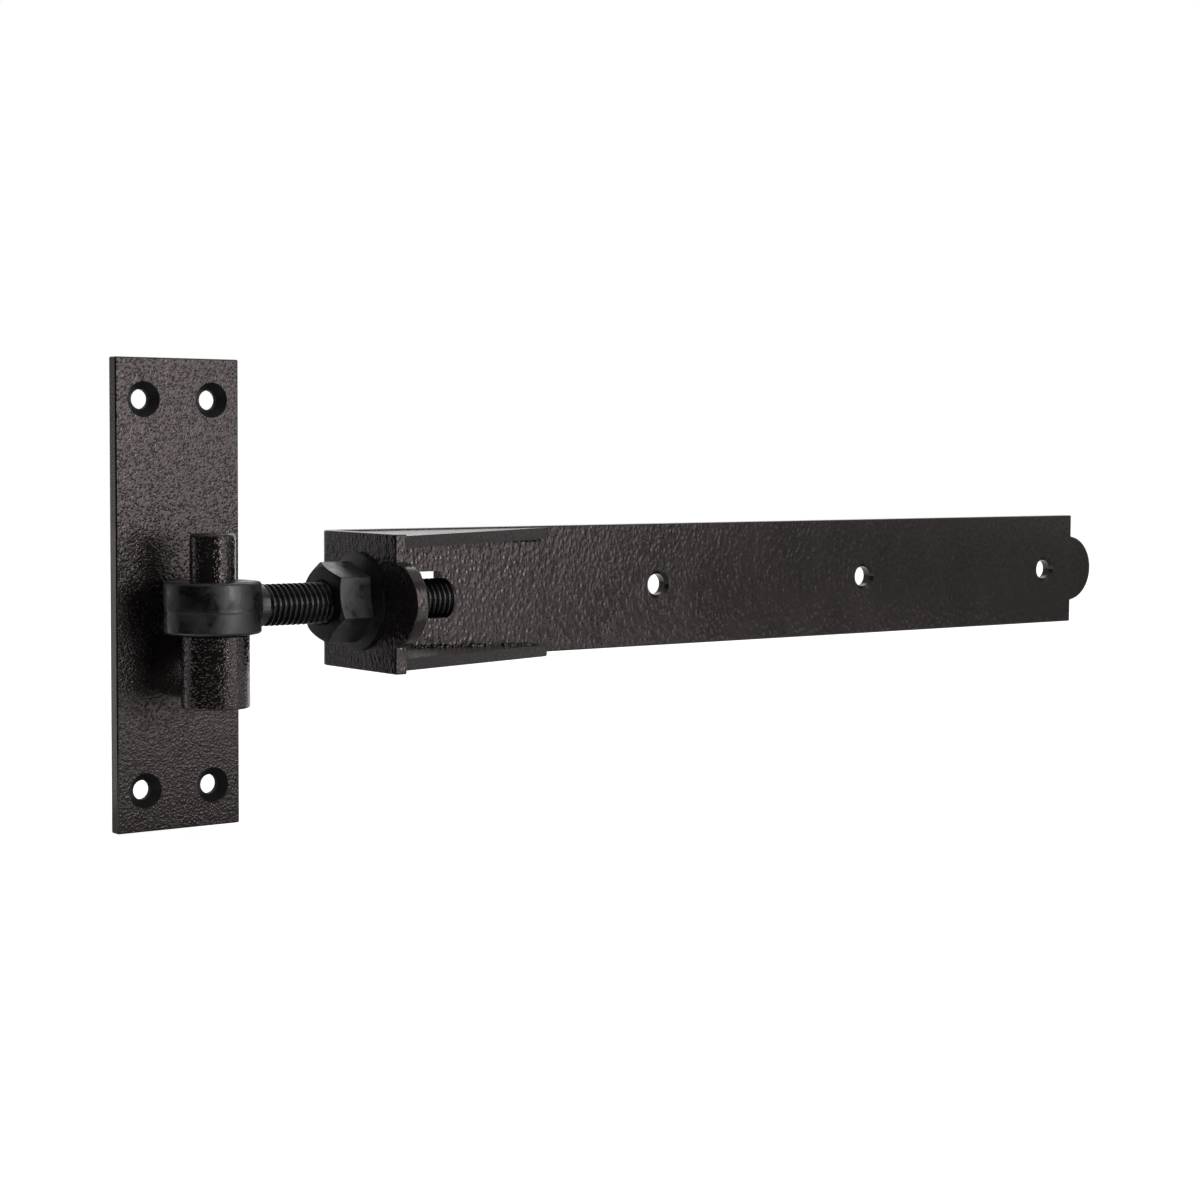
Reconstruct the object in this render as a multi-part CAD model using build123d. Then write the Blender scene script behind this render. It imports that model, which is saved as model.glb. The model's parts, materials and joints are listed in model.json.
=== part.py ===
from build123d import *
import os
from math import cos, radians, tan

# An adjustable hook and band hinge, in millimetres. The origin is the centre of the hook plate's
# back face, which lies against the post. +X runs along the band, +Y goes into the post and +Z is
# up. The pin stands in front of the plate, on x = 0.

# Hook plate
PLATE_WIDTH = 39.0
PLATE_HEIGHT = 134.0
PLATE_THICKNESS = 4.0
PLATE_SCREWS_ACROSS = 21.5
PLATE_SCREWS_UP = 110.5
PLATE_SCREW_HOLE = 5.6
PLATE_SCREW_SINK = 10.1

# Pin, its shoulder, and the neck that is riveted through the plate
PIN_STAND_OFF = 19.5
PIN_DIAMETER = 12.7
PIN_ABOVE_EYE = 13.4
PIN_TIP_ROUNDING = 1.2
SHOULDER_DIAMETER = 19.1
SHOULDER_HEIGHT = 20.5
SHOULDER_FORWARD = 1.5
SHOULDER_ROUNDING = 0.6
NECK_DIAMETER = 18.0
RIVET_DIAMETER = 12.0
RIVET_HEAD_DIAMETER = 15.0
RIVET_RECESS = 0.1

# Eye bolt
BOLT_DROP = 2.5
BOLT_DIAMETER = 12.0
BOLT_LENGTH = 79.0
BOLT_TIP_CHAMFER = 1.1
EYE_DIAMETER = 27.0
EYE_HEIGHT = 14.5
EYE_ROUNDING = 0.9
EYE_BORE_CLEARANCE = 0.08
EYE_ROOT_BLEND = 1.0
EYE_REST_GAP = 0.1

# Flange nuts
NUT_SIDES = 6
NUT_ACROSS_FLATS = 20.6
NUT_HEIGHT = 12.6
NUT_FLANGE_DIAMETER = 28.4
NUT_FLANGE_RIM = 1.2
NUT_FLANGE_SLOPE = 17.0
NUT_CORNER_ROUNDING = 0.5
NUT_CORNER_CHAMFER = 30.0
NUT_BORE_CLEARANCE = 0.06
NUT_BORE_CHAMFER = 0.8
OUTER_NUT_TURN = -10.0
INNER_NUT_TURN = -13.0

# Band: a flat bar with one end bent forward into an end plate
BAND_WIDTH = 40.0
BAND_THICKNESS = 4.0
BAND_LENGTH = 330.4
END_PLATE_DEPTH = 38.8
PIN_TO_END_PLATE = 48.0
BEND_INSIDE_RADIUS = 2.0
NUB_RADIUS = 12.0
NUB_REACH = 11.0
BOLT_HOLE_CLEARANCE = 0.5
BAND_SCREW_HOLE = 7.0
BAND_SCREW_SINK = 9.2
BAND_SCREW_COUNT = 3
FIRST_BAND_SCREW = 128.5
BAND_SCREW_PITCH = 93.7
SQUARE_HOLE = 13.5
SQUARE_HOLE_CENTRE = 35.3

# Gussets between the end plate and the strap
GUSSET_THICKNESS = 3.5
GUSSET_LENGTH = 82.0
GUSSET_TIP = 1.6
GUSSET_TIP_ROUNDING = 1.2
GUSSET_CORNER_ROUNDING = 1.4
GUSSET_SET_BACK = 0.4
TOP_GUSSET_INSET = 0.5
BOTTOM_GUSSET_INSET = 1.0
BOTTOM_GUSSET_SAG = 2.2

# Rounding of the rolled and sheared edges of every flat bar
BAR_EDGE = 0.5

# How far a cutting tool runs past the face that it starts from, and a joined one under it
OVERRUN = 1.0

# Places that the pieces share
PIN_Y = -(PLATE_THICKNESS + PIN_STAND_OFF)
BOLT_Z = -BOLT_DROP
EYE_TOP = BOLT_Z + EYE_HEIGHT / 2
SHOULDER_TOP = BOLT_Z - EYE_HEIGHT / 2 - EYE_REST_GAP
SHOULDER_MIDDLE = SHOULDER_TOP - SHOULDER_HEIGHT / 2
PIN_TOP = EYE_TOP + PIN_ABOVE_EYE
END_PLATE_OUTSIDE = PIN_TO_END_PLATE
END_PLATE_INSIDE = END_PLATE_OUTSIDE + BAND_THICKNESS
STRAP_FRONT = -BAND_THICKNESS
STRAP_END = END_PLATE_OUTSIDE + BAND_LENGTH
END_PLATE_FRONT = STRAP_FRONT - END_PLATE_DEPTH
BAND_TOP = BOLT_Z + BAND_WIDTH / 2
BAND_BOTTOM = BOLT_Z - BAND_WIDTH / 2


def countersunk_hole(x, z, hole, sink, thickness):
    """The tool for a screw hole through a bar whose back is on y = 0, sunk at 90 degrees in front."""
    outline = Polyline(
        (0, OVERRUN),
        (hole / 2, OVERRUN),
        (hole / 2, (sink - hole) / 2 - thickness),
        (sink / 2, -thickness),
        (sink / 2, -thickness - OVERRUN),
        (0, -thickness - OVERRUN),
        close=True,
    )
    return Pos(x, 0, z) * revolve(make_face(outline), Axis.Y)


def rivet():
    """The end of the neck inside the plate, spread into a sunk head just below the plate's back."""
    head_depth = (RIVET_HEAD_DIAMETER - RIVET_DIAMETER) / 2
    outline = Polyline(
        (0, -PLATE_THICKNESS),
        (RIVET_DIAMETER / 2, -PLATE_THICKNESS),
        (RIVET_DIAMETER / 2, -head_depth - RIVET_RECESS),
        (RIVET_HEAD_DIAMETER / 2, -RIVET_RECESS),
        (0, -RIVET_RECESS),
        close=True,
    )
    return Pos(0, 0, SHOULDER_MIDDLE) * revolve(make_face(outline), Axis.Y)


def rivet_seat():
    """The tool for the plate's hole, which has the rivet's own shape and opens at the back."""
    mouth = extrude(Plane.XZ * Circle(RIVET_HEAD_DIAMETER / 2), amount=RIVET_RECESS + OVERRUN)
    return rivet() + Pos(0, OVERRUN, SHOULDER_MIDDLE) * mouth


def hook_plate():
    plate = extrude(Plane.XZ * Rectangle(PLATE_WIDTH, PLATE_HEIGHT), amount=PLATE_THICKNESS)
    plate = fillet(plate.edges(), BAR_EDGE)
    for side in (-1, 1):
        for end in (-1, 1):
            plate -= countersunk_hole(
                side * PLATE_SCREWS_ACROSS / 2,
                end * PLATE_SCREWS_UP / 2,
                PLATE_SCREW_HOLE,
                PLATE_SCREW_SINK,
                PLATE_THICKNESS,
            )
    return plate - rivet_seat()


def hook_pin():
    """The pin on its shoulder, which stands a little forward of it, and the neck to the plate."""
    shoulder = Cylinder(SHOULDER_DIAMETER / 2, SHOULDER_HEIGHT)
    shoulder = fillet(shoulder.edges().filter_by(GeomType.CIRCLE), SHOULDER_ROUNDING)
    pin = extrude(Circle(PIN_DIAMETER / 2), amount=PIN_TOP - SHOULDER_MIDDLE)
    pin = fillet(pin.edges().sort_by(Axis.Z)[-1], PIN_TIP_ROUNDING)
    neck = extrude(Plane.XZ * Circle(NECK_DIAMETER / 2), amount=-PIN_STAND_OFF)
    hook = pin + neck + Pos(0, -SHOULDER_FORWARD, 0) * shoulder
    return Pos(0, PIN_Y, SHOULDER_MIDDLE) * hook + rivet()


def eye_bolt():
    """The eye, bored for the pin, and its round shank. The shank's diameter is the thread's."""
    eye = fillet(Cylinder(EYE_DIAMETER / 2, EYE_HEIGHT).edges(), EYE_ROUNDING)
    shank = extrude(Plane.YZ * Circle(BOLT_DIAMETER / 2), amount=BOLT_LENGTH)
    shank = chamfer(shank.edges().sort_by(Axis.X)[-1], BOLT_TIP_CHAMFER)
    bolt = eye + shank
    root = bolt.edges().filter_by(lambda edge: edge.geom_type not in (GeomType.CIRCLE, GeomType.LINE))
    bolt = fillet(root, EYE_ROOT_BLEND)
    bolt -= Cylinder(PIN_DIAMETER / 2 + EYE_BORE_CLEARANCE, EYE_HEIGHT + 2 * OVERRUN)
    return Pos(0, PIN_Y, BOLT_Z) * bolt


def flange_nut():
    """A hexagon nut with a sloping flange. Its bearing face is on x = 0 and it extends towards -X."""
    flat = NUT_ACROSS_FLATS / 2
    half_side = 180 / NUT_SIDES
    corner = flat / cos(radians(half_side))
    rim = NUT_FLANGE_DIAMETER / 2
    slope = tan(radians(NUT_FLANGE_SLOPE))
    outline = RegularPolygon(flat, NUT_SIDES, major_radius=False, rotation=half_side)
    outline = fillet(outline.vertices(), NUT_CORNER_ROUNDING)
    hexagon = extrude(Plane.YZ * outline, amount=-NUT_HEIGHT)
    crown = Polyline(
        (OVERRUN, 0),
        (OVERRUN, corner + OVERRUN),
        ((corner + OVERRUN - flat) * tan(radians(NUT_CORNER_CHAMFER)) - NUT_HEIGHT, corner + OVERRUN),
        (-NUT_HEIGHT, flat),
        (-NUT_HEIGHT, 0),
        close=True,
    )
    buried = flat - OVERRUN
    flange = Polyline(
        (0, 0),
        (0, rim),
        (-NUT_FLANGE_RIM, rim),
        (-NUT_FLANGE_RIM - (rim - buried) * slope, buried),
        (-NUT_FLANGE_RIM - (rim - buried) * slope, 0),
        close=True,
    )
    bore = BOLT_DIAMETER / 2 + NUT_BORE_CLEARANCE
    mouth = bore + NUT_BORE_CHAMFER
    hole = Polyline(
        (OVERRUN, 0),
        (OVERRUN, mouth),
        (0, mouth),
        (-NUT_BORE_CHAMFER, bore),
        (NUT_BORE_CHAMFER - NUT_HEIGHT, bore),
        (-NUT_HEIGHT, mouth),
        (-NUT_HEIGHT - OVERRUN, mouth),
        (-NUT_HEIGHT - OVERRUN, 0),
        close=True,
    )
    nut = hexagon & revolve(make_face(crown), Axis.X)
    nut += revolve(make_face(flange), Axis.X)
    return nut - revolve(make_face(hole), Axis.X)


def outer_nut():
    """The nut on the eye's side, with its flange against the outside of the end plate."""
    return Pos(END_PLATE_OUTSIDE, PIN_Y, BOLT_Z) * Rot(X=OUTER_NUT_TURN) * flange_nut()


def inner_nut():
    """The nut on the far side, turned end for end, with its flange against the inside."""
    return Pos(END_PLATE_INSIDE, PIN_Y, BOLT_Z) * Rot(X=INNER_NUT_TURN) * Rot(Z=180) * flange_nut()


def nub_waste(shoulder):
    """What is cut from a bar's end to leave a half-round nub. The bar runs along the sketch's x."""
    middle = shoulder + (NUB_REACH + OVERRUN) / 2
    beyond = Pos(middle, 0) * Rectangle(NUB_REACH + OVERRUN, BAND_WIDTH + 2 * OVERRUN)
    return beyond - Pos(shoulder + NUB_REACH - NUB_RADIUS, 0) * Circle(NUB_RADIUS)


def strap_tool(sketch):
    """A tool that cuts a sketch through the strap. The sketch's x runs along the band."""
    return Pos(0, OVERRUN, BOLT_Z) * extrude(Plane.XZ * sketch, amount=BAND_THICKNESS + 2 * OVERRUN)


def end_plate_tool(sketch):
    """A tool that cuts a sketch through the end plate. The sketch's x runs forward from the post."""
    across = Plane((END_PLATE_INSIDE + OVERRUN, 0, BOLT_Z), x_dir=(0, -1, 0), z_dir=(-1, 0, 0))
    return extrude(across * sketch, amount=BAND_THICKNESS + 2 * OVERRUN)


def band_strap():
    """One bar, bent through a right angle, with a half-round nub at each end."""
    outside = FilletPolyline(
        (END_PLATE_OUTSIDE, END_PLATE_FRONT - NUB_REACH),
        (END_PLATE_OUTSIDE, 0),
        (STRAP_END + NUB_REACH, 0),
        radius=BEND_INSIDE_RADIUS + BAND_THICKNESS,
    )
    inside = FilletPolyline(
        (STRAP_END + NUB_REACH, STRAP_FRONT),
        (END_PLATE_INSIDE, STRAP_FRONT),
        (END_PLATE_INSIDE, END_PLATE_FRONT - NUB_REACH),
        radius=BEND_INSIDE_RADIUS,
    )
    ends = [Line(outside @ 1, inside @ 0), Line(inside @ 1, outside @ 0)]
    section = make_face([outside, inside, *ends])
    bar = extrude(Pos(0, 0, BAND_BOTTOM) * section, amount=BAND_WIDTH)

    bar -= strap_tool(nub_waste(STRAP_END))
    bar -= end_plate_tool(nub_waste(-END_PLATE_FRONT))
    bar = fillet(bar.edges(), BAR_EDGE)

    bar -= end_plate_tool(Pos(-PIN_Y, 0) * Circle(BOLT_DIAMETER / 2 + BOLT_HOLE_CLEARANCE))
    square = Pos(END_PLATE_OUTSIDE + SQUARE_HOLE_CENTRE, 0) * Rectangle(SQUARE_HOLE, SQUARE_HOLE)
    bar -= strap_tool(square)
    for step in range(BAND_SCREW_COUNT):
        x = END_PLATE_OUTSIDE + FIRST_BAND_SCREW + step * BAND_SCREW_PITCH
        bar -= countersunk_hole(x, BOLT_Z, BAND_SCREW_HOLE, BAND_SCREW_SINK, BAND_THICKNESS)
    return bar


def gusset(top_at_end_plate, top_at_tip):
    """A triangular stiffener in the bend, cut level or sloping from the end plate to its tip."""
    tip = END_PLATE_OUTSIDE + GUSSET_LENGTH
    triangle = Polyline(
        (END_PLATE_INSIDE, STRAP_FRONT - BEND_INSIDE_RADIUS),
        (END_PLATE_INSIDE, END_PLATE_FRONT + GUSSET_SET_BACK),
        (tip, STRAP_FRONT - GUSSET_TIP),
        (tip, STRAP_FRONT),
        (END_PLATE_INSIDE + BEND_INSIDE_RADIUS, STRAP_FRONT),
        close=True,
    )
    column = extrude(Pos(0, 0, BOLT_Z) * make_face(triangle), amount=BAND_WIDTH, both=True)
    tip_corner = column.edges().filter_by(Axis.Z).sort_by(Axis.X)[-2:].sort_by(Axis.Y)[0]
    column = fillet(tip_corner, GUSSET_TIP_ROUNDING)
    side = Polyline(
        (END_PLATE_INSIDE, top_at_end_plate),
        (tip, top_at_tip),
        (tip, top_at_tip - GUSSET_THICKNESS),
        (END_PLATE_INSIDE, top_at_end_plate - GUSSET_THICKNESS),
        close=True,
    )
    slab = make_face(side)
    lower_corner = slab.vertices().group_by(Axis.X)[-1].sort_by(Axis.Y)[0]
    slab = extrude(Plane.XZ * fillet(lower_corner, GUSSET_CORNER_ROUNDING), amount=-END_PLATE_FRONT)
    return column & slab


def top_gusset():
    level = BAND_TOP - TOP_GUSSET_INSET
    return gusset(level, level)


def bottom_gusset():
    """Welded a little askew: it starts above the band's lower edge and its tip sags below it."""
    start = BAND_BOTTOM + BOTTOM_GUSSET_INSET + GUSSET_THICKNESS
    return gusset(start, start - BOTTOM_GUSSET_SAG)


PIECES = {
    "hook_plate": hook_plate,
    "hook_pin": hook_pin,
    "eye_bolt": eye_bolt,
    "outer_nut": outer_nut,
    "inner_nut": inner_nut,
    "band_strap": band_strap,
    "top_gusset": top_gusset,
    "bottom_gusset": bottom_gusset,
}

os.makedirs("parts", exist_ok=True)
for name, make in PIECES.items():
    export_step(make(), f"parts/{name}.step")
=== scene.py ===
"""Dresses the hook and band hinge: hammered paint, satin black threads and nuts, a plain studio."""

import json
from math import cos, pi, radians, sin

import bmesh
import bpy
from bpy.props import FloatProperty, FloatVectorProperty, PointerProperty
from mathutils import Matrix, Vector


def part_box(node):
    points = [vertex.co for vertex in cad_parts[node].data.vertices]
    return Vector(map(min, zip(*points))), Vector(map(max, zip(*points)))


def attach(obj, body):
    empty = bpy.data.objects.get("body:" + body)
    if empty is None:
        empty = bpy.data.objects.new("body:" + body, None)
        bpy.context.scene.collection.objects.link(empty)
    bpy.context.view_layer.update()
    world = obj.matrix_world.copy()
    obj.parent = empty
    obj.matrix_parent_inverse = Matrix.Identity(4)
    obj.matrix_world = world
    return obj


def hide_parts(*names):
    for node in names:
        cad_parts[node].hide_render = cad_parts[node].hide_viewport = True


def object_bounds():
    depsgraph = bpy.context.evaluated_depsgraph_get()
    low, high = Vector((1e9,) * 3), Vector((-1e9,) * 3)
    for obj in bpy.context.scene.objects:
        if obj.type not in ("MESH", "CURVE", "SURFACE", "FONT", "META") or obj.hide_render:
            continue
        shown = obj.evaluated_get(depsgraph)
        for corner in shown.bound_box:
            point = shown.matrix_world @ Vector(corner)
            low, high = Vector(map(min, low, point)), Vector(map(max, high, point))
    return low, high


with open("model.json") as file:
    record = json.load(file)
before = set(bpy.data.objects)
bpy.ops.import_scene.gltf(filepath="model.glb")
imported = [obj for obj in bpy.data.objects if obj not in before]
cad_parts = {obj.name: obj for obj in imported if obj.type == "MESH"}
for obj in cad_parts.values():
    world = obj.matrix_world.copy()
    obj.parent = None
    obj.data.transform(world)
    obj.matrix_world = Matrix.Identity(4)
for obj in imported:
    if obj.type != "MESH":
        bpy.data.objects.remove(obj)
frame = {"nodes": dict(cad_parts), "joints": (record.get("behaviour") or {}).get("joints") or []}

bl_info = {
    "name": "Hook and Band Hinge",
    "version": (1, 0, 0),
    "blender": (4, 5, 0),
    "location": "3D View > Sidebar > Hinge",
    "description": "Finishes a gate hinge with hammered paint, cut threads and welds",
    "category": "Object",
}

# Places read from the frame, in metres
JOINTS = {joint["name"]: joint for joint in frame["joints"]}
PIN = Vector(JOINTS["band_swing"]["pos_m"])
BOLT = Vector(JOINTS["outer_nut_turn"]["pos_m"])
CAD_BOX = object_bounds()
CENTRE = (CAD_BOX[0] + CAD_BOX[1]) / 2
EYE_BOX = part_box("eye_bolt")
PLATE_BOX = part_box("hook_plate")

# Points nearer than this are one point
SAME_POINT = 1e-6

# The painted nodes, each with the axes along which its rolled faces look
PAINTED = {
    "hook_plate": "Y",
    "hook_pin": "",
    "band_strap": "XY",
    "top_gusset": "Z",
    "bottom_gusset": "Z",
}
NUTS = ("outer_nut", "inner_nut")

# What differs from the plate in the relief of two nodes. It fades between two places along X
RELIEF = {
    "band_strap": {"wrinkles": 1.5, "fade": (0.06, 0.22)},
    "hook_pin": {"wrinkles": 0.6, "smoother": 0.07},
}
# Share of the relief's height that is left where it has faded
FADED_SHARE = 0.3
# A face is rolled where its normal is this near to an axis, as a cosine
ROLLED_COSINE = 0.97
# The wrinkles and the slow swell under the grains: how often they come, next to the grains
WRINKLE_RATE = 0.95
SWELL_RATE = 0.2
# Height of the swell next to a grain's, and what is taken off so that the relief lies round zero
SWELL_HEIGHT = 0.3
MEAN_HEIGHT = 0.6
# Clouds in the paint's roughness: how often they come in a metre, and how much they change it
CLOUD_SCALE = 60.0
CLOUD_ROUGHNESS = 0.16

# Painted shade in the sunk screw holes: a duller, less glossy paint that darkens their faces
SUNK_SHADE_PAINT = {"Base Color": (0.006, 0.0055, 0.0055, 1.0), "Specular IOR Level": 0.12, "Roughness": 0.5}
# Faces of holes: how far they lie inside the plate's outline, and the most that their normals
# may have of its depth
HOLE_MARGIN = 0.0015
HOLE_NORMAL = 0.9

# The forging's marks, and the smudges on them, with how much a smudge changes the roughness
FORGED_NOISE = {"Scale": 420.0, "Detail": 5.0, "Roughness": 0.65}
SMUDGE_NOISE = {"Scale": 170.0, "Detail": 4.0, "Roughness": 0.6}
SMUDGES = {"eye": 1.6, "thread": 0.5, "nuts": 0.6}

# The thread: its crest's radius, and the depth as a share of the pitch
BOLT_RADIUS = 0.006
THREAD_DEPTH = 0.6134
# One turn of the thread along the bolt: share of the pitch, share of the depth
PROFILE = ((0.0, 0.0), (0.11, 0.04), (0.22, 0.3), (0.40, 0.85), (0.46, 0.97), (0.54, 1.0), (0.61, 0.97),
           (0.67, 0.85), (0.86, 0.3), (0.95, 0.04))
TURN_STEPS = 72
# Turns that are made past either end and pressed flat onto it
SPARE_TURNS = 2
# Radius of the plain shank where the thread begins, as a share of the crest's
SHANK_SHARE = 0.985
# Points of two turns that meet at the seam lie nearer than this
SEAM_GAP = 2e-6
# How far the threaded piece reaches back into the eye's stem, and the chamfer at its tip
THREAD_OVERLAP = 0.0005
TIP_CHAMFER = 0.0011
THREAD_CREASE = radians(40)

# The eye: heights at which it is cut round its parting line, and what counts as its outer wall
PARTING_CUTS = (-0.0008, -0.0003, 0.0, 0.0003, 0.0008)
WALL_DEPTH = 2e-5
EYE_CREASE = radians(25)

# The welds stop this short of a corner
SEAM_END = 0.002
WELD_SEED = 3

# The floor's extent, and how much it is lifted towards white where it is seen
FLOOR = ((-4.0, -1.1), (4.0, -1.1), (4.0, 4.0), (-4.0, 4.0))
FLOOR_LIFT = 0.65
# The backdrop: its turn in degrees, its distance, half its width and its top over the part's middle
BACKDROP_TURN = 38
BACKDROP_DISTANCE = 2.5
BACKDROP_HALF_WIDTH = 2.2
BACKDROP_TOP = 2.5
# Flat cards over the floor, in X and Y: a grey one under the band, and a dark one left of the hook
CARD_LIFT = 0.002
UNDER_BAND = ((-0.03, -0.13), (0.9, -0.13), (0.9, 0.01), (0.09, 0.01), (0.09, 0.4), (-0.4, 0.4),
              (-0.4, 0.2), (-0.03, 0.0))
UNDER_LEFT = ((-1.2, -0.9), (0.0, -0.9), (0.0, -0.16), (-0.08, -0.13), (-0.13, -0.06), (-0.13, 0.055),
              (-1.2, 0.62))
# The bright upright card whose reflection is the streak on the left of the pin and the eye
STREAK = ((-0.068, 0.048), (-0.035, 0.075))
STREAK_RISE = 0.09
# Flat parts that make up a bent card
CARD_STEPS = 12
SENSOR_WIDTH = 36.0


class HingePaint(bpy.types.PropertyGroup):
    """The hammered paint of the plate, the pin and the band"""

    colour: FloatVectorProperty(
        name="Colour", description="Body colour of the paint", subtype="COLOR",
        default=(0.0055, 0.0046, 0.0044),
    )
    sheen_tint: FloatVectorProperty(
        name="Reflection tint", description="Tint of the paint's gloss", subtype="COLOR",
        default=(1.0, 0.86, 0.85),
    )
    roughness: FloatProperty(
        name="Roughness", description="Roughness of the paint between its wrinkles",
        default=0.19, min=0.0, max=1.0, subtype="FACTOR",
    )
    grain_size: FloatProperty(
        name="Grain size", description="Distance from one bump of the paint to the next",
        default=0.0008, min=0.0002, max=0.01, unit="LENGTH",
    )
    grain_depth: FloatProperty(
        name="Grain depth", description="Height of the paint's bumps",
        default=0.00014, min=0.0, max=0.001, unit="LENGTH",
    )
    strap_grain_size: FloatProperty(
        name="Strap grain size", description="Distance from one ridge to the next on the band",
        default=0.0014, min=0.0002, max=0.01, unit="LENGTH",
    )
    strap_grain_depth: FloatProperty(
        name="Strap grain depth", description="Height of the band's ridges",
        default=0.0002, min=0.0, max=0.001, unit="LENGTH",
    )
    strap_grain_stretch: FloatProperty(
        name="Strap grain stretch", description="Length of the band's ridges over their width",
        default=1.7, min=1.0, max=5.0,
    )
    edge_relief: FloatProperty(
        name="Relief on edges",
        description="Share of the relief that is left on sheared edges and in holes",
        default=0.25, min=0.0, max=1.0, subtype="FACTOR",
    )


class HingeSteel(bpy.types.PropertyGroup):
    """The smooth black coating of the eye bolt and its nuts, and the thread that is cut in them"""

    colour: FloatVectorProperty(
        name="Colour", description="Body colour of the coating", subtype="COLOR",
        default=(0.0032, 0.0032, 0.0036),
    )
    roughness: FloatProperty(
        name="Roughness", description="Roughness of the coating",
        default=0.33, min=0.0, max=1.0, subtype="FACTOR",
    )
    eye_roughness: FloatProperty(
        name="Eye roughness", description="Roughness of the coating on the forged eye",
        default=0.41, min=0.0, max=1.0, subtype="FACTOR",
    )
    thread_roughness: FloatProperty(
        name="Thread roughness", description="Roughness of the coating on the thread",
        default=0.22, min=0.0, max=1.0, subtype="FACTOR",
    )
    scale_depth: FloatProperty(
        name="Scale depth", description="Height of the forging's marks under the coating",
        default=0.00008, min=0.0, max=0.001, unit="LENGTH",
    )
    pitch: FloatProperty(
        name="Thread pitch", description="Travel of a nut in one turn",
        default=0.00175, min=0.0005, max=0.005, unit="LENGTH",
    )
    thread_start: FloatProperty(
        name="Thread start", description="Distance from the pin's axis to the first thread",
        default=0.0151, min=0.01, max=0.05, unit="LENGTH",
    )
    parting_height: FloatProperty(
        name="Parting line", description="Height of the forging's parting line over the eye's base",
        default=0.0066, min=0.001, max=0.012, unit="LENGTH",
    )
    parting_ridge: FloatProperty(
        name="Parting ridge", description="How far the parting line stands out",
        default=0.00012, min=0.0, max=0.001, unit="LENGTH",
    )


class HingeWelds(bpy.types.PropertyGroup):
    """The weld beads in the inner corners of the gussets"""

    bead_radius: FloatProperty(
        name="Bead radius", description="Radius of the largest drops of the weld",
        default=0.0011, min=0.0002, max=0.003, unit="LENGTH",
    )
    bead_spacing: FloatProperty(
        name="Bead spacing", description="Distance from one drop to the next",
        default=0.001, min=0.0002, max=0.005, unit="LENGTH",
    )
    raggedness: FloatProperty(
        name="Raggedness", description="How unevenly the drops lie", default=0.55, min=0.0, max=1.0,
        subtype="FACTOR",
    )


class HingeStudio(bpy.types.PropertyGroup):
    """The camera and the light"""

    lens: FloatProperty(
        name="Lens", description="Focal length in millimetres on a 36 mm sensor", default=74.41
    )
    camera_place: FloatVectorProperty(
        name="Camera", description="Place of the camera", default=(-0.3403, -0.6312, 0.0441),
        subtype="TRANSLATION", unit="LENGTH",
    )
    camera_yaw: FloatProperty(
        name="Camera yaw", description="Turn of the camera from the post towards the band",
        default=radians(38.14), subtype="ANGLE", unit="ROTATION",
    )
    camera_pitch: FloatProperty(
        name="Camera pitch", description="Tilt of the camera towards the floor",
        default=radians(3.65), subtype="ANGLE", unit="ROTATION",
    )
    camera_roll: FloatProperty(
        name="Camera roll", description="Roll of the camera",
        default=radians(0.36), subtype="ANGLE", unit="ROTATION",
    )
    floor_drop: FloatProperty(
        name="Floor drop", description="Distance from the hook plate down to the floor",
        default=0.003, min=0.0, max=1.0, unit="LENGTH",
    )
    surroundings: FloatProperty(
        name="Surroundings", description="Brightness of the room round the backdrop",
        default=0.4, min=0.0, max=2.0,
    )


# Mesh helpers


def add_mesh(name, mesh):
    piece = bpy.data.objects.new(name, mesh)
    bpy.context.scene.collection.objects.link(piece)
    return piece


def mesh_from(name, bm):
    mesh = bpy.data.meshes.new(name)
    bm.to_mesh(mesh)
    bm.free()
    return mesh


def merged_copy(node):
    """A copy of a CAD node's triangles, joined at their corners."""
    bm = bmesh.new()
    bm.from_mesh(frame["nodes"][node].data)
    bmesh.ops.remove_doubles(bm, verts=bm.verts, dist=SAME_POINT)
    return bm


def cut_through(bm, place, normal, drop_outer=False):
    """Cuts a mesh along a plane, and drops the side that the normal points to where asked."""
    everything = bm.verts[:] + bm.edges[:] + bm.faces[:]
    bmesh.ops.bisect_plane(bm, geom=everything, plane_co=place, plane_no=normal, clear_outer=drop_outer)


def close_open_ends(bm):
    bmesh.ops.holes_fill(bm, edges=[edge for edge in bm.edges if edge.is_boundary], sides=0)


def shade_by_angle(mesh, angle):
    """Smooth shading, apart from the edges that turn by more than an angle."""
    mesh.shade_smooth()
    mesh.set_sharp_from_angle(angle=angle)


# Shader helpers


def set_inputs(node, values):
    for label, value in values.items():
        node.inputs[label].default_value = value


def new_material(name):
    material = bpy.data.materials.new(name)
    material.use_nodes = True
    tree = material.node_tree
    return material, tree, tree.nodes["Principled BSDF"]


def add_node(tree, kind, **inputs):
    node = tree.nodes.new(kind)
    set_inputs(node, {label.replace("_", " "): value for label, value in inputs.items()})
    return node


def object_place(tree):
    return tree.nodes.new("ShaderNodeTexCoord").outputs["Object"]


def math_node(tree, operation, first, second=None):
    node = tree.nodes.new("ShaderNodeMath")
    node.operation = operation
    for socket, value in zip(node.inputs, (first, second)):
        if value is None:
            continue
        if isinstance(value, bpy.types.NodeSocket):
            tree.links.new(value, socket)
        else:
            socket.default_value = value
    return node.outputs[0]


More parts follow.
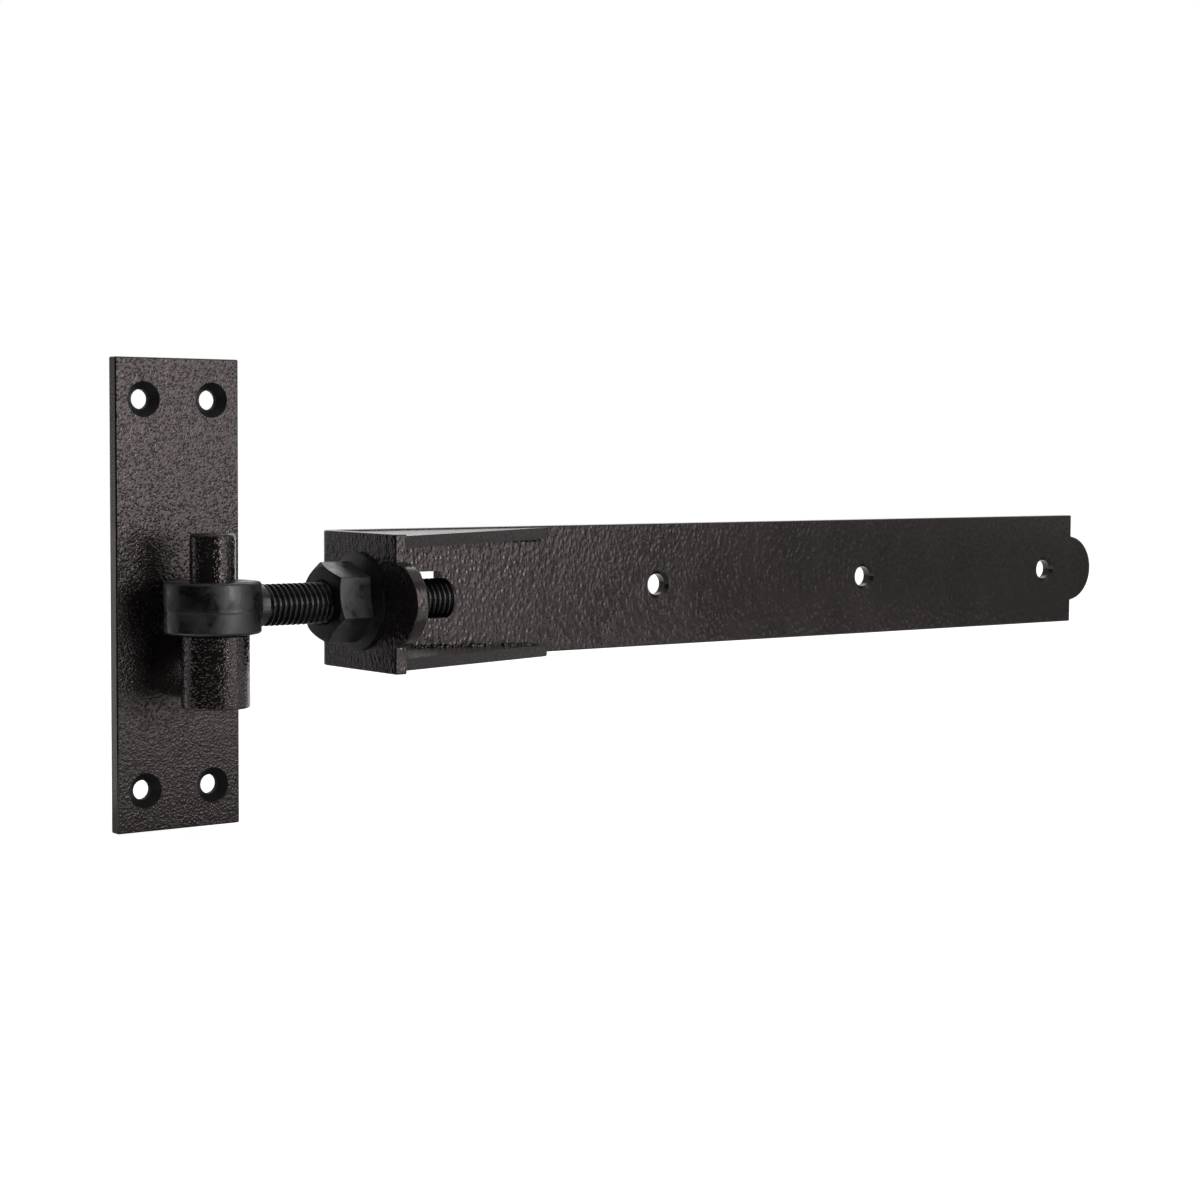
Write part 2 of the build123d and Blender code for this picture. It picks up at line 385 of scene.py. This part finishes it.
def hammered_relief():
    """Hammered paint: rounded grains that run into each other, over wrinkles and a slow swell."""
    if "Hammered relief" in bpy.data.node_groups:
        return bpy.data.node_groups["Hammered relief"]
    tree = bpy.data.node_groups.new("Hammered relief", "ShaderNodeTree")
    socket = tree.interface.new_socket
    socket("Vector", in_out="INPUT", socket_type="NodeSocketVector")
    socket("Size", in_out="INPUT", socket_type="NodeSocketFloat")
    socket("Wrinkles", in_out="INPUT", socket_type="NodeSocketFloat")
    socket("Height", in_out="OUTPUT", socket_type="NodeSocketFloat")
    socket("Cloud", in_out="OUTPUT", socket_type="NodeSocketFloat")
    group_in = tree.nodes.new("NodeGroupInput")
    group_out = tree.nodes.new("NodeGroupOutput")
    place = group_in.outputs["Vector"]
    frequency = math_node(tree, "DIVIDE", 1.0, group_in.outputs["Size"])

    grains = add_node(tree, "ShaderNodeTexVoronoi")
    grains.feature = "SMOOTH_F1"
    set_inputs(grains, {"Smoothness": 0.3})
    tree.links.new(place, grains.inputs["Vector"])
    tree.links.new(frequency, grains.inputs["Scale"])
    wrinkles = add_node(tree, "ShaderNodeTexNoise", Detail=2.0, Roughness=0.55)
    tree.links.new(place, wrinkles.inputs["Vector"])
    tree.links.new(math_node(tree, "MULTIPLY", frequency, WRINKLE_RATE), wrinkles.inputs["Scale"])
    swell = add_node(tree, "ShaderNodeTexNoise", Detail=1.0)
    tree.links.new(place, swell.inputs["Vector"])
    tree.links.new(math_node(tree, "MULTIPLY", frequency, SWELL_RATE), swell.inputs["Scale"])

    domes = math_node(tree, "SUBTRACT", 0.5, grains.outputs["Distance"])
    domes = math_node(tree, "MULTIPLY", math_node(tree, "MAXIMUM", domes, 0.0), 2.0)
    rough = math_node(tree, "SUBTRACT", wrinkles.outputs["Fac"], 0.5)
    rough = math_node(tree, "MULTIPLY", rough, group_in.outputs["Wrinkles"])
    slow = math_node(tree, "MULTIPLY", swell.outputs["Fac"], SWELL_HEIGHT)
    height = math_node(tree, "ADD", math_node(tree, "ADD", domes, rough), slow)
    tree.links.new(math_node(tree, "SUBTRACT", height, MEAN_HEIGHT), group_out.inputs["Height"])

    cloud = add_node(tree, "ShaderNodeTexNoise", Scale=CLOUD_SCALE, Detail=2.0)
    tree.links.new(place, cloud.inputs["Vector"])
    tree.links.new(cloud.outputs["Fac"], group_out.inputs["Cloud"])
    return tree


def faces_along(tree, axes):
    """1 on faces that look along one of the axes and 0 elsewhere, from the object's own normal."""
    parts = tree.nodes.new("ShaderNodeSeparateXYZ")
    tree.links.new(tree.nodes.new("ShaderNodeTexCoord").outputs["Normal"], parts.inputs[0])
    most = 0.0
    for axis in axes:
        most = math_node(tree, "MAXIMUM", math_node(tree, "ABSOLUTE", parts.outputs[axis]), most)
    return math_node(tree, "GREATER_THAN", most, ROLLED_COSINE)


def fade_along(tree, start, end):
    """1 up to one place along X, and the faded share from a second place on."""
    parts = tree.nodes.new("ShaderNodeSeparateXYZ")
    tree.links.new(object_place(tree), parts.inputs[0])
    share = tree.nodes.new("ShaderNodeMapRange")
    set_inputs(share, {"From Min": start, "From Max": end, "To Min": 1.0, "To Max": FADED_SHARE})
    tree.links.new(parts.outputs["X"], share.inputs["Value"])
    return share.outputs["Result"]


def hammered_paint(name, rolled_faces, size, depth, stretch=1.0, wrinkles=1.1, smoother=0.0, fade=None):
    """Paint whose relief is full on the rolled faces, or everywhere where no axes are given.

    The grains are stretched in height. Smoother is taken off the roughness. The relief fades
    between two places along X where they are given.
    """
    paint = bpy.context.scene.hinge_paint
    material, tree, shader = new_material(name)
    set_inputs(shader, {"Base Color": (*paint.colour, 1.0), "Specular Tint": (*paint.sheen_tint, 1.0)})
    relief = tree.nodes.new("ShaderNodeGroup")
    relief.node_tree = hammered_relief()
    set_inputs(relief, {"Size": size, "Wrinkles": wrinkles})
    drawn_out = add_node(tree, "ShaderNodeMapping", Scale=(1.0, 1.0, 1.0 / stretch))
    tree.links.new(object_place(tree), drawn_out.inputs["Vector"])
    tree.links.new(drawn_out.outputs["Vector"], relief.inputs["Vector"])

    height = relief.outputs["Height"]
    if rolled_faces:
        rolled = math_node(tree, "MULTIPLY", faces_along(tree, rolled_faces), 1.0 - paint.edge_relief)
        height = math_node(tree, "MULTIPLY", height, math_node(tree, "ADD", rolled, paint.edge_relief))
    if fade:
        height = math_node(tree, "MULTIPLY", height, fade_along(tree, *fade))
    bump = add_node(tree, "ShaderNodeBump", Distance=depth)
    tree.links.new(height, bump.inputs["Height"])
    tree.links.new(bump.outputs["Normal"], shader.inputs["Normal"])

    rough = math_node(tree, "MULTIPLY", relief.outputs["Cloud"], CLOUD_ROUGHNESS)
    rough = math_node(tree, "ADD", rough, paint.roughness - CLOUD_ROUGHNESS / 2 - smoother)
    tree.links.new(rough, shader.inputs["Roughness"])
    return material


def satin_black(name, roughness, smudges):
    """The smooth black coating, with the forging's marks under it and smudges on it."""
    steel = bpy.context.scene.hinge_steel
    material, tree, shader = new_material(name)
    set_inputs(shader, {"Base Color": (*steel.colour, 1.0)})
    place = object_place(tree)
    grain = add_node(tree, "ShaderNodeTexNoise", **FORGED_NOISE)
    smudge = add_node(tree, "ShaderNodeTexNoise", **SMUDGE_NOISE)
    tree.links.new(place, grain.inputs["Vector"])
    tree.links.new(place, smudge.inputs["Vector"])
    bump = add_node(tree, "ShaderNodeBump", Distance=steel.scale_depth)
    tree.links.new(grain.outputs["Fac"], bump.inputs["Height"])
    tree.links.new(bump.outputs["Normal"], shader.inputs["Normal"])
    rough = math_node(tree, "MULTIPLY", math_node(tree, "SUBTRACT", smudge.outputs["Fac"], 0.5), smudges)
    tree.links.new(math_node(tree, "ADD", rough, roughness), shader.inputs["Roughness"])
    return material


def paint_hole_shade(piece, depth_axis):
    """Gives the faces that slope into a bar's holes or run through it a duller, less glossy paint that
    darkens them: painted shade in the holes.
    """
    # Painted shade: the faces in the holes reflect less, so they look dark
    material, _, shader = new_material("painted_shade_in_holes")
    set_inputs(shader, SUNK_SHADE_PAINT)
    piece.data.materials.append(material)
    low, high = (Vector(corner) for corner in (piece.bound_box[0], piece.bound_box[6]))
    spans = [
        (axis, low[axis] + HOLE_MARGIN, high[axis] - HOLE_MARGIN)
        for axis in range(3) if axis != depth_axis
    ]
    for face in piece.data.polygons:
        inside = all(start < face.center[axis] < end for axis, start, end in spans)
        if inside and abs(face.normal[depth_axis]) < HOLE_NORMAL:
            face.material_index = len(piece.data.materials) - 1


# Piece helpers


def set_material(piece, material):
    if piece.data.materials:
        for slot in piece.material_slots:
            slot.material = material
    else:
        piece.data.materials.append(material)


def finish_piece(piece, body, slot, *nodes):
    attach(piece, body)
    if nodes:
        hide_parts(*nodes)


def applied(piece):
    """A plain mesh object of what a piece's modifiers make, in its place."""
    graph = bpy.context.evaluated_depsgraph_get()
    mesh = bpy.data.meshes.new_from_object(piece.evaluated_get(graph))
    name = piece.name
    bpy.data.objects.remove(piece)
    return add_mesh(name, mesh)


# Painted bars


class HINGE_OT_painted_bars(bpy.types.Operator):
    """Paint the plate, the pin, the strap and the gussets"""

    bl_idname = "hinge.painted_bars"
    bl_label = "Painted bars"

    def execute(self, context):
        paint = context.scene.hinge_paint
        for node, rolled_faces in PAINTED.items():
            grain = (paint.grain_size, paint.grain_depth)
            if node == "band_strap":
                grain = (paint.strap_grain_size, paint.strap_grain_depth, paint.strap_grain_stretch)
            changes = RELIEF.get(node, {})
            material = hammered_paint(f"hammered_paint_{node}", rolled_faces, *grain, **changes)
            set_material(frame["nodes"][node], material)
        paint_hole_shade(frame["nodes"]["hook_plate"], 1)
        return {"FINISHED"}


# Welds


def weld_tree():
    """Geometry Nodes: drops of uneven size along a path, joined and given a material."""
    tree = bpy.data.node_groups.new("Weld bead", "GeometryNodeTree")
    sockets = {
        "Path": "NodeSocketGeometry",
        "Radius": "NodeSocketFloat",
        "Spacing": "NodeSocketFloat",
        "Raggedness": "NodeSocketFloat",
        "Seed": "NodeSocketInt",
        "Material": "NodeSocketMaterial",
    }
    for label, kind in sockets.items():
        tree.interface.new_socket(label, in_out="INPUT", socket_type=kind)
    tree.interface.new_socket("Weld", in_out="OUTPUT", socket_type="NodeSocketGeometry")
    ins = tree.nodes.new("NodeGroupInput").outputs
    link = tree.links.new

    path = tree.nodes.new("GeometryNodeMeshToCurve")
    link(ins["Path"], path.inputs["Mesh"])
    steps = tree.nodes.new("GeometryNodeResampleCurve")
    steps.mode = "LENGTH"
    link(path.outputs["Curve"], steps.inputs["Curve"])
    link(ins["Spacing"], steps.inputs["Length"])

    smallest = math_node(tree, "SUBTRACT", 1.0, ins["Raggedness"])
    size = tree.nodes.new("FunctionNodeRandomValue")
    size.data_type = "FLOAT"
    link(math_node(tree, "MULTIPLY", ins["Radius"], smallest), size.inputs[2])
    link(ins["Radius"], size.inputs[3])
    link(ins["Seed"], size.inputs["Seed"])

    # Each drop strays within a cube round its place on the path
    stray = tree.nodes.new("FunctionNodeRandomValue")
    stray.data_type = "FLOAT_VECTOR"
    stray.inputs[0].default_value = (-0.5, -0.5, -0.5)
    stray.inputs[1].default_value = (0.5, 0.5, 0.5)
    link(math_node(tree, "ADD", ins["Seed"], 1.0), stray.inputs["Seed"])
    reach = tree.nodes.new("ShaderNodeVectorMath")
    reach.operation = "SCALE"
    link(stray.outputs[0], reach.inputs[0])
    link(math_node(tree, "MULTIPLY", ins["Radius"], ins["Raggedness"]), reach.inputs["Scale"])
    moved = tree.nodes.new("GeometryNodeSetPosition")
    link(steps.outputs["Curve"], moved.inputs["Geometry"])
    link(reach.outputs[0], moved.inputs["Offset"])

    drop = tree.nodes.new("GeometryNodeMeshIcoSphere")
    drop.inputs["Radius"].default_value = 1.0
    drop.inputs["Subdivisions"].default_value = 2
    drops = tree.nodes.new("GeometryNodeInstanceOnPoints")
    link(moved.outputs["Geometry"], drops.inputs["Points"])
    link(drop.outputs["Mesh"], drops.inputs["Instance"])
    link(size.outputs[1], drops.inputs["Scale"])
    joined = tree.nodes.new("GeometryNodeRealizeInstances")
    link(drops.outputs["Instances"], joined.inputs["Geometry"])
    smooth = tree.nodes.new("GeometryNodeSetShadeSmooth")
    link(joined.outputs["Geometry"], smooth.inputs["Geometry"])
    painted = tree.nodes.new("GeometryNodeSetMaterial")
    link(smooth.outputs["Geometry"], painted.inputs["Geometry"])
    link(ins["Material"], painted.inputs["Material"])
    link(painted.outputs["Geometry"], tree.nodes.new("NodeGroupOutput").inputs["Weld"])
    return tree


def gusset_seams():
    """The inner corners of both gussets: along the strap and along the end plate."""
    top_low, top_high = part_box("top_gusset")
    low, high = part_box("bottom_gusset")
    thickness = top_high.z - top_low.z
    seams = []
    for start_z, tip_z in ((top_low.z, top_low.z), (high.z, low.z + thickness)):
        seams.append(((low.x + SEAM_END, high.y, start_z), (high.x - SEAM_END, high.y, tip_z)))
        seams.append(((low.x, low.y + SEAM_END, start_z), (low.x, high.y - SEAM_END, start_z)))
    return seams


class HINGE_OT_welds(bpy.types.Operator):
    """Weld the gussets to the strap and the end plate, in their inner corners"""

    bl_idname = "hinge.welds"
    bl_label = "Welds"

    def execute(self, context):
        paint = context.scene.hinge_paint
        welds = context.scene.hinge_welds
        bm = bmesh.new()
        for seam in gusset_seams():
            bm.edges.new([bm.verts.new(corner) for corner in seam])
        piece = add_mesh("gusset_welds", mesh_from("gusset_welds", bm))
        tree = weld_tree()
        modifier = piece.modifiers.new("Weld bead", "NODES")
        modifier.node_group = tree
        values = {
            "Radius": welds.bead_radius,
            "Spacing": welds.bead_spacing,
            "Raggedness": welds.raggedness,
            "Seed": WELD_SEED,
            "Material": hammered_paint("hammered_paint_welds", "", paint.grain_size, paint.grain_depth),
        }
        for label, value in values.items():
            modifier[tree.interface.items_tree[label].identifier] = value
        finish_piece(applied(piece), "band", "hammered_paint")
        return {"FINISHED"}


# Eye bolt


def forged_eye(steel, cut):
    """The eye up to the thread, with a parting line that stands out all round its wall."""
    bm = merged_copy("eye_bolt")
    cut_through(bm, (cut, 0, 0), (1, 0, 0), drop_outer=True)
    close_open_ends(bm)
    low, high = EYE_BOX
    eye_radius = (high.y - low.y) / 2
    ridge = low.z + steel.parting_height
    for offset in PARTING_CUTS:
        cut_through(bm, (0, 0, ridge + offset), (0, 0, 1))
    for vert in bm.verts:
        out = Vector((vert.co.x - PIN.x, vert.co.y - PIN.y, 0.0))
        if abs(vert.co.z - ridge) < SAME_POINT and out.length > eye_radius - WALL_DEPTH:
            vert.co += out.normalized() * steel.parting_ridge
    mesh = mesh_from("bolt_eye", bm)
    shade_by_angle(mesh, EYE_CREASE)
    eye = add_mesh("bolt_eye", mesh)
    set_material(eye, satin_black("satin_black_eye", steel.eye_roughness, SMUDGES["eye"]))
    return eye


def threaded_rod(start, end, radius, pitch, chamfer):
    """A closed rod along X with a right-hand thread, whose rows of points follow the helix."""
    bm = bmesh.new()
    root = radius - THREAD_DEPTH * pitch
    shank = radius * SHANK_SHARE
    last_turn = int((end - start) / pitch) + SPARE_TURNS
    rows = [(turn + share, lift) for turn in range(-SPARE_TURNS, last_turn) for share, lift in PROFILE]
    grid = []
    for turn, lift in rows:
        ring = []
        for step in range(TURN_STEPS):
            angle = 2 * pi * step / TURN_STEPS
            x = start + (turn + step / TURN_STEPS) * pitch
            height = root + lift * (radius - root)
            # The first turn rises out of the plain shank
            cut = min(max((x - start) / pitch, 0.0), 1.0)
            height = shank + (height - shank) * cut
            x = min(max(x, start), end)
            height = min(height, radius - chamfer + (end - x))
            ring.append(bm.verts.new((x, height * cos(angle), height * sin(angle))))
        grid.append(ring)
    for low, high in zip(grid, grid[1:]):
        for step in range(TURN_STEPS - 1):
            bm.faces.new((low[step], high[step], high[step + 1], low[step + 1]))
    # The seam: after one turn the last column meets the first column one pitch further along
    next_turn = grid[len(PROFILE):]
    for low, high, next_low, next_high in zip(grid, grid[1:], next_turn, next_turn[1:]):
        bm.faces.new((low[-1], high[-1], next_high[0], next_low[0]))
    bmesh.ops.remove_doubles(bm, verts=bm.verts, dist=SEAM_GAP)
    bmesh.ops.dissolve_degenerate(bm, edges=bm.edges, dist=SAME_POINT)
    close_open_ends(bm)
    bmesh.ops.recalc_face_normals(bm, faces=bm.faces)
    return bm


def bolt_thread(steel, cut):
    """The threaded shank, from just inside the eye's stem to the bolt's tip."""
    tip = EYE_BOX[1].x
    bm = threaded_rod(cut - THREAD_OVERLAP, tip, BOLT_RADIUS, steel.pitch, TIP_CHAMFER)
    bmesh.ops.translate(bm, verts=bm.verts, vec=(0.0, BOLT.y, BOLT.z))
    mesh = mesh_from("bolt_thread", bm)
    shade_by_angle(mesh, THREAD_CREASE)
    thread = add_mesh("bolt_thread", mesh)
    set_material(thread, satin_black("satin_black_thread", steel.thread_roughness, SMUDGES["thread"]))
    return thread


class HINGE_OT_eye_bolt(bpy.types.Operator):
    """Make the forged eye with its parting line, and the threaded shank"""

    bl_idname = "hinge.eye_bolt"
    bl_label = "Eye bolt"

    def execute(self, context):
        steel = context.scene.hinge_steel
        cut = PIN.x + steel.thread_start
        for piece in (forged_eye(steel, cut), bolt_thread(steel, cut)):
            finish_piece(piece, "eye_bolt", "black_steel", "eye_bolt")
        return {"FINISHED"}


class HINGE_OT_nuts(bpy.types.Operator):
    """Coat the two flange nuts"""

    bl_idname = "hinge.nuts"
    bl_label = "Flange nuts"

    def execute(self, context):
        black = satin_black("satin_black_nuts", context.scene.hinge_steel.roughness, SMUDGES["nuts"])
        for node in NUTS:
            set_material(frame["nodes"][node], black)
        return {"FINISHED"}


# Studio


def round_place(azimuth, elevation, distance):
    """A place round the middle of the part. Azimuth 0 is in front of the post, 90 along the band."""
    a, e = radians(azimuth), radians(elevation)
    return CENTRE + distance * Vector((sin(a) * cos(e), -cos(a) * cos(e), sin(e)))


def seen_directly(tree):
    """1 for what the camera sees, straight or in gloss and glass, and 0 for light that spreads."""
    path = tree.nodes.new("ShaderNodeLightPath")
    seen = math_node(tree, "MAXIMUM", path.outputs["Is Camera Ray"], path.outputs["Is Glossy Ray"])
    return math_node(tree, "MAXIMUM", seen, path.outputs["Is Transmission Ray"])


def floor_material():
    """A pale floor that is lifted to white where it is seen, and keeps the part's soft shadow."""
    material, tree, shader = new_material("studio_floor")
    set_inputs(shader, {
        "Base Color": (0.85, 0.85, 0.85, 1.0),
        "Roughness": 1.0,
        "Specular IOR Level": 0.0,
        "Emission Color": (1.0, 1.0, 1.0, 1.0),
    })
    lift = math_node(tree, "MULTIPLY", seen_directly(tree), FLOOR_LIFT)
    tree.links.new(lift, shader.inputs["Emission Strength"])
    return material


def backdrop_material(surroundings):
    """White where it is seen, and as bright as the room for light that spreads."""
    material = bpy.data.materials.new("studio_backdrop")
    material.use_nodes = True
    tree = material.node_tree
    tree.nodes.clear()
    white = add_node(tree, "ShaderNodeEmission", Color=(1.0, 1.0, 1.0, 1.0))
    lift = math_node(tree, "MULTIPLY", seen_directly(tree), 1.0 - surroundings)
    tree.links.new(math_node(tree, "ADD", lift, surroundings), white.inputs["Strength"])
    out = tree.nodes.new("ShaderNodeOutputMaterial")
    tree.links.new(white.outputs["Emission"], out.inputs["Surface"])
    return material


def card_material(name, tone):
    material, _, shader = new_material(name)
    set_inputs(shader, {"Base Color": (tone, tone, tone, 1.0), "Specular IOR Level": 0.0})
    return material


def add_sheet(name, bm, material):
    sheet = add_mesh(name, mesh_from(name, bm))
    sheet.data.materials.append(material)
    return sheet


def flat_sheet(name, corners, material):
    bm = bmesh.new()
    bm.faces.new([bm.verts.new(corner) for corner in corners])
    return add_sheet(name, bm, material)


def bent_sheet(name, azimuths, elevations, distance, material):
    """A sheet that stands round the part, at one distance from its middle."""
    bm = bmesh.new()
    columns = []
    for step in range(CARD_STEPS + 1):
        azimuth = azimuths[0] + (azimuths[1] - azimuths[0]) * step / CARD_STEPS
        columns.append([bm.verts.new(round_place(azimuth, height, distance)) for height in elevations])
    for left, right in zip(columns, columns[1:]):
        bm.faces.new((left[0], right[0], right[1], left[1]))
    return add_sheet(name, bm, material)


def show_only(sheet, camera=False, glossy=False):
    """Keeps a sheet out of the light, and shows it to the camera or in reflections."""
    sheet.visible_camera = camera
    sheet.visible_glossy = glossy
    sheet.visible_diffuse = False
    sheet.visible_transmission = False
    sheet.visible_shadow = False


def flat_card(name, corners, tone):
    show_only(flat_sheet(name, corners, card_material(name, tone)), glossy=True)


def bent_card(name, azimuths, elevations, distance, tone):
    sheet = bent_sheet(name, azimuths, elevations, distance, card_material(name, tone))
    show_only(sheet, glossy=True)


def softbox(name, place, target, size, radiance):
    lamp = bpy.data.lights.new(name, "AREA")
    lamp.shape = "RECTANGLE"
    lamp.size, lamp.size_y = size
    lamp.energy = radiance * pi * size[0] * size[1]
    light = bpy.data.objects.new(name, lamp)
    light.location = place
    light.rotation_euler = (Vector(target) - Vector(place)).to_track_quat("-Z", "Y").to_euler()
    bpy.context.scene.collection.objects.link(light)


def add_floor_and_backdrop(studio, floor_z):
    """The floor under the part and the backdrop behind it, white where they are seen."""
    flat_sheet("studio_floor", [(x, y, floor_z) for x, y in FLOOR], floor_material())
    turn = radians(BACKDROP_TURN)
    middle = round_place(180 - BACKDROP_TURN, 0, BACKDROP_DISTANCE)
    half = BACKDROP_HALF_WIDTH * Vector((cos(turn), -sin(turn), 0.0))
    low = Vector((0, 0, floor_z - middle.z))
    tall = Vector((0, 0, BACKDROP_TOP))
    corners = [middle - half + low, middle + half + low, middle + half + tall, middle - half + tall]
    flat_sheet("studio_backdrop", corners, backdrop_material(studio.surroundings))


def add_lights():
    """A broad light before the band, the key light at the plate, and weak ones near and behind."""
    softbox("front_right", (0.545, -1.205, 0.42), target=(0.31, -0.035, 0.42), size=(0.97, 1.2),
            radiance=2.6)
    softbox("key", (0.16, -1.25, 0.16), target=(0.0, 0.0, 0.0), size=(0.3, 0.5), radiance=14.0)
    softbox("near_camera", round_place(-33, 20, 1.3), target=CENTRE, size=(0.3, 0.5), radiance=0.4)
    softbox("overhead", round_place(10, 80, 1.2), target=CENTRE, size=(1.2, 0.8), radiance=0.7)
    softbox("back_fill", round_place(145, 45, 1.5), target=CENTRE, size=(1.0, 0.6), radiance=1.5)


def add_cards(studio, floor_z):
    """Cards that only reflections show, and a white surround that only the camera sees."""
    bent_card("card_left", azimuths=(-122, -2), elevations=(-12, 30), distance=1.0, tone=0.01)
    bent_card("card_low", azimuths=(-50, 2), elevations=(-22, -3), distance=0.45, tone=0.01)
    bent_card("card_low_right", azimuths=(26, 105), elevations=(-15, -1), distance=0.45, tone=0.5)
    bent_card("card_low_left", azimuths=(-170, -122), elevations=(-14, 0), distance=0.5, tone=0.32)
    surround = bent_sheet("studio_surround", azimuths=(-160, 70), elevations=(-55, 55), distance=3.0,
                          material=backdrop_material(studio.surroundings))
    show_only(surround, camera=True)
    flat_card("card_under", [(x, y, floor_z + CARD_LIFT) for x, y in UNDER_BAND], tone=0.5)
    flat_card("card_under_left", [(x, y, floor_z + CARD_LIFT) for x, y in UNDER_LEFT], tone=0.01)
    near, far = (Vector((x, y, floor_z)) for x, y in STREAK)
    rise = Vector((0.0, 0.0, STREAK_RISE))
    flat_card("card_streak", [near, far, far + rise, near + rise], tone=0.9)


def add_world(studio):
    world = bpy.data.worlds.new("studio")
    bpy.context.scene.world = world
    world.use_nodes = True
    background = world.node_tree.nodes["Background"]
    set_inputs(background, {"Color": (1.0, 1.0, 1.0, 1.0), "Strength": studio.surroundings})


def add_camera(studio):
    """The camera, turned from the Y axis by its yaw, then tilted down and rolled."""
    camera = bpy.data.objects.new("camera", bpy.data.cameras.new("camera"))
    bpy.context.scene.collection.objects.link(camera)
    camera.data.lens = studio.lens
    camera.data.sensor_width = SENSOR_WIDTH
    yaw, pitch, roll = studio.camera_yaw, studio.camera_pitch, studio.camera_roll
    forward = Vector((sin(yaw) * cos(pitch), cos(yaw) * cos(pitch), -sin(pitch)))
    right = Vector((cos(yaw), -sin(yaw), 0.0))
    up = right.cross(forward)
    level = Matrix((cos(roll) * right + sin(roll) * up, cos(roll) * up - sin(roll) * right, -forward))
    camera.matrix_world = Matrix.Translation(studio.camera_place) @ level.transposed().to_4x4()
    bpy.context.scene.camera = camera


class HINGE_OT_studio(bpy.types.Operator):
    """Set up the floor, the backdrop, the soft lights and the camera"""

    bl_idname = "hinge.studio"
    bl_label = "Studio"

    def execute(self, context):
        studio = context.scene.hinge_studio
        floor_z = PLATE_BOX[0].z - studio.floor_drop
        add_floor_and_backdrop(studio, floor_z)
        add_lights()
        add_cards(studio, floor_z)
        add_world(studio)
        add_camera(studio)
        context.scene.view_settings.view_transform = "Standard"
        return {"FINISHED"}


# Panel


class HINGE_PT_panel(bpy.types.Panel):
    """Lists the steps that finish the hinge"""

    bl_idname = "HINGE_PT_panel"
    bl_label = "Hook and Band Hinge"
    bl_space_type = "VIEW_3D"
    bl_region_type = "UI"
    bl_category = "Hinge"

    def draw(self, context):
        for step in STEPS:
            self.layout.operator(step.bl_idname)


GROUPS = {
    "hinge_paint": HingePaint,
    "hinge_steel": HingeSteel,
    "hinge_welds": HingeWelds,
    "hinge_studio": HingeStudio,
}
STEPS = (HINGE_OT_painted_bars, HINGE_OT_welds, HINGE_OT_eye_bolt, HINGE_OT_nuts, HINGE_OT_studio)


def register():
    for made in (*GROUPS.values(), *STEPS, HINGE_PT_panel):
        bpy.utils.register_class(made)
    for name, group in GROUPS.items():
        setattr(bpy.types.Scene, name, PointerProperty(type=group))


def unregister():
    for name in GROUPS:
        delattr(bpy.types.Scene, name)
    for made in reversed((*GROUPS.values(), *STEPS, HINGE_PT_panel)):
        bpy.utils.unregister_class(made)


def main():
    register()
    bpy.ops.hinge.painted_bars()
    bpy.ops.hinge.welds()
    bpy.ops.hinge.eye_bolt()
    bpy.ops.hinge.nuts()
    bpy.ops.hinge.studio()


if __name__ == "__main__":
    main()
